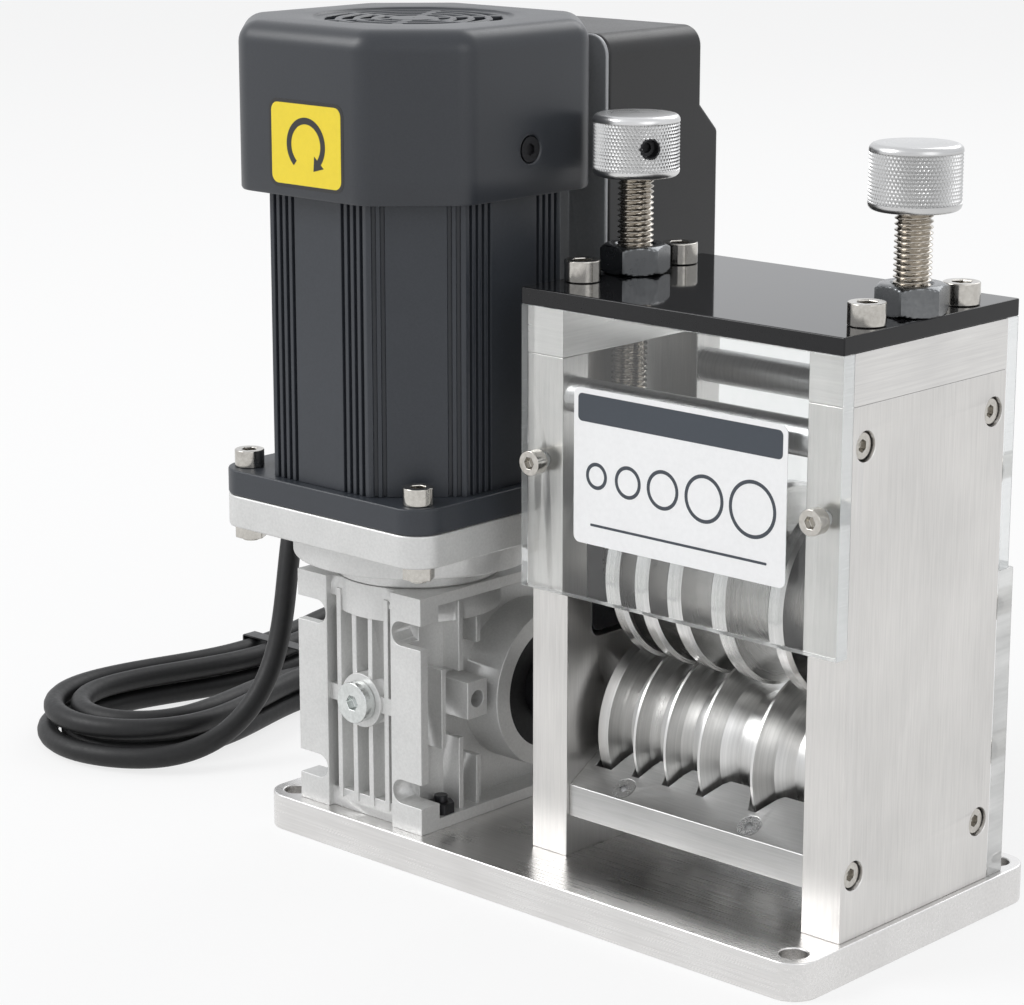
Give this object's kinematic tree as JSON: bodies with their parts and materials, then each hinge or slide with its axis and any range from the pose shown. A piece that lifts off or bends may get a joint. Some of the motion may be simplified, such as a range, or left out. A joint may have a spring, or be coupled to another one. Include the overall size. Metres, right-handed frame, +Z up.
{
  "type": "electric wire stripper",
  "caption": "Bench-top electric wire stripper with a grooved roller and cutter discs between two side plates, worm gearbox, fan-cooled motor, control box and mains cord.",
  "frame": {"origin": "centre of the base plate's underside", "axes": "+X along the base from the motor to the stripping head, +Y to the back where wire goes in, +Z up"},
  "size_m": [0.3375, 0.2703, 0.2395],
  "materials": {
    "brushed_aluminium": "brushed",
    "cast_aluminium": "as cast, lightly blasted",
    "turned_aluminium": "knurled and turned",
    "polished_steel": "polished and turned",
    "bearing_steel": "ground",
    "nickel_steel": "nickel plated",
    "zinc_steel": "zinc plated",
    "black_steel": "blackened",
    "gloss_black": "gloss",
    "black_plastic": "satin",
    "slate_paint": "satin",
    "clear_acrylic": "clear",
    "rubber_black": "matt",
    "laminated_steel": "stacked sheet",
    "copper_wire": "enamelled",
    "bronze": "machined"
  },
  "bodies": {
    "frame": {"base_plate": "brushed_aluminium", "left_side_plate": "brushed_aluminium", "right_side_plate": "brushed_aluminium", "cap_blocks": "brushed_aluminium", "frame_screws": "zinc_steel", "top_plate": "gloss_black", "top_plate_screws": "nickel_steel", "front_guard": "clear_acrylic", "rear_guard": "clear_acrylic", "inlet_block": "clear_acrylic", "guard_screws": "nickel_steel", "comb_bar": "brushed_aluminium", "comb_screws": "nickel_steel", "tie_rods": "polished_steel", "side_plate_screws": "zinc_steel", "fixed_bearings": "bearing_steel", "gearbox_housing": "cast_aluminium", "gearbox_cover": "cast_aluminium", "m4_screws": "zinc_steel", "oil_plug": "zinc_steel", "output_seals": "rubber_black", "gearbox_studs": "black_steel", "adapter_flange": "cast_aluminium", "flange_screws": "nickel_steel", "motor_flange": "slate_paint", "motor_body": "slate_paint", "stator_core": "laminated_steel", "windings": "copper_wire", "rear_shield": "slate_paint", "fan_cover": "slate_paint", "fan_cover_screws": "black_steel", "box_tray": "cast_aluminium", "box_cover": "black_plastic", "capacitor": "cast_aluminium", "switch_bezel": "black_plastic", "strain_relief": "rubber_black", "cord": "rubber_black", "cord_hank": "rubber_black", "cord_tie": "black_plastic", "plug": "black_plastic"},
    "drive": {"lower_roller": "polished_steel", "drive_shaft": "polished_steel", "drive_key": "polished_steel", "output_sleeve": "polished_steel", "worm_wheel": "bronze"},
    "rotor_line": {"rotor": "laminated_steel", "worm": "polished_steel", "cooling_fan": "black_plastic"},
    "carriage": {"bearing_blocks": "black_steel", "upper_bearings": "bearing_steel"},
    "cutter": {"cutter_shaft": "polished_steel", "cutter_discs": "polished_steel", "disc_spacers": "polished_steel"},
    "left_adjuster": {"left_adjusting_screw": "nickel_steel", "left_knob": "turned_aluminium"},
    "right_adjuster": {"right_adjusting_screw": "nickel_steel", "right_knob": "turned_aluminium"},
    "left_nut": {"left_lock_nut": "zinc_steel"},
    "right_nut": {"right_lock_nut": "zinc_steel"},
    "rocker": {"switch_rocker": "black_plastic"}
  },
  "joints": [
    {"name": "roller_spin", "type": "hinge", "parent": "frame", "child": "drive", "pos_m": [0, 0, 0.0457], "axis": [1, 0, 0], "continuous": true},
    {"name": "rotor_spin", "type": "hinge", "parent": "frame", "child": "rotor_line", "pos_m": [-0.0624, -0.025, 0.14], "axis": [0, 0, 1], "continuous": true},
    {"name": "carriage_slide", "type": "slide", "parent": "frame", "child": "carriage", "axis": [0, 0, 1], "range_m": [-0.0014, 0.014]},
    {"name": "cutter_spin", "type": "hinge", "parent": "carriage", "child": "cutter", "pos_m": [0, 0, 0.093], "axis": [1, 0, 0], "continuous": true},
    {"name": "left_knob_turn", "type": "hinge", "parent": "carriage", "child": "left_adjuster", "pos_m": [-0.002, 0, 0.16], "axis": [0, 0, 1], "range_deg": [-337, 3361]},
    {"name": "right_knob_turn", "type": "hinge", "parent": "carriage", "child": "right_adjuster", "pos_m": [0.0911, 0, 0.16], "axis": [0, 0, 1], "range_deg": [-337, 3361]},
    {"name": "left_nut_turn", "type": "hinge", "parent": "frame", "child": "left_nut", "pos_m": [-0.002, 0, 0.175], "axis": [0, 0, 1], "range_deg": [0, 60]},
    {"name": "right_nut_turn", "type": "hinge", "parent": "frame", "child": "right_nut", "pos_m": [0.0911, 0, 0.175], "axis": [0, 0, 1], "range_deg": [0, 60]},
    {"name": "rocker_tilt", "type": "hinge", "parent": "frame", "child": "rocker", "pos_m": [-0.0624, 0.0701, 0.16], "axis": [1, 0, 0], "range_deg": [-16, 0]}
  ],
  "couplings": [
    {"joint": "roller_spin", "follows": "rotor_spin", "ratio": 0.033333},
    {"joint": "left_knob_turn", "follows": "carriage_slide", "rad_per_m": 4188.8},
    {"joint": "right_knob_turn", "follows": "carriage_slide", "rad_per_m": 4188.8}
  ]
}
